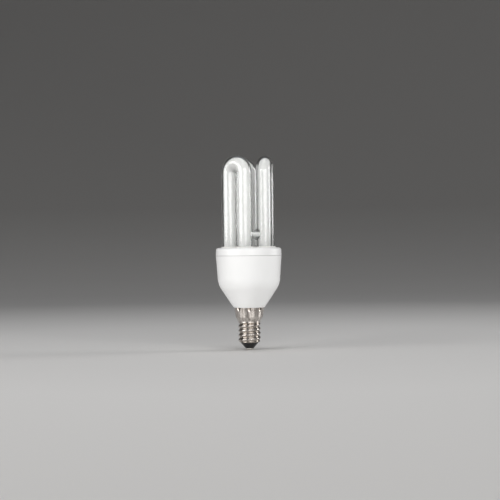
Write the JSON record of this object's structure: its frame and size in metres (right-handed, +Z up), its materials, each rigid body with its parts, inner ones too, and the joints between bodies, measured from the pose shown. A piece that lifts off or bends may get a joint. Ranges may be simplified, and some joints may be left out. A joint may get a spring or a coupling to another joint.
{
  "type": "compact fluorescent bulb",
  "caption": "Compact fluorescent bulb: white U-bent glass tubes on a white moulded ballast housing with a small plated screw cap.",
  "frame": {"origin": "centre of the flat centre contact at the bottom of the cap", "axes": "+Z up the lamp's axis from the cap to the glass; the picture looks along +Y"},
  "size_m": [0.0408, 0.0408, 0.1204],
  "materials": {
    "tube_glass": "clear drawn glass, polished",
    "phosphor_powder": "baked white powder",
    "white_plastic": "moulded, satin gloss",
    "white_cement": "set cement",
    "cap_metal": "nickel plated brass",
    "black_glass": "opaque black glass",
    "contact_metal": "tinned",
    "board_laminate": "brown laminate",
    "capacitor_sleeve": "shrunk sleeve",
    "ferrite": "sintered",
    "black_moulding": "moulded",
    "copper": "enamelled copper wire",
    "dipped_resin": "dipped resin",
    "part_body": "lacquered",
    "wire_metal": "tinned wire",
    "wire_cover": "insulated wire"
  },
  "bodies": {
    "root": {"discharge_tube": "tube_glass", "phosphor_lining": "phosphor_powder", "electrodes": "wire_metal", "tube_collar": "white_plastic", "tube_cement": "white_cement", "ballast_housing": "white_plastic", "cap_shell": "cap_metal", "cap_insulator": "black_glass", "centre_contact": "contact_metal", "contact_solder": "contact_metal", "circuit_board": "board_laminate", "smoothing_capacitor": "capacitor_sleeve", "choke_core": "ferrite", "choke_bobbin": "black_moulding", "choke_winding": "copper", "drive_toroid": "ferrite", "toroid_windings": "copper", "switching_transistors": "black_moulding", "start_capacitor": "dipped_resin", "coupling_capacitor": "dipped_resin", "rectifier_diodes": "black_moulding", "bias_resistors": "part_body", "trigger_diode": "part_body", "wrap_pins": "wire_metal", "filament_leads": "wire_metal", "fusible_resistor": "part_body", "live_lead": "wire_cover", "neutral_lead": "wire_cover"}
  },
  "joints": []
}
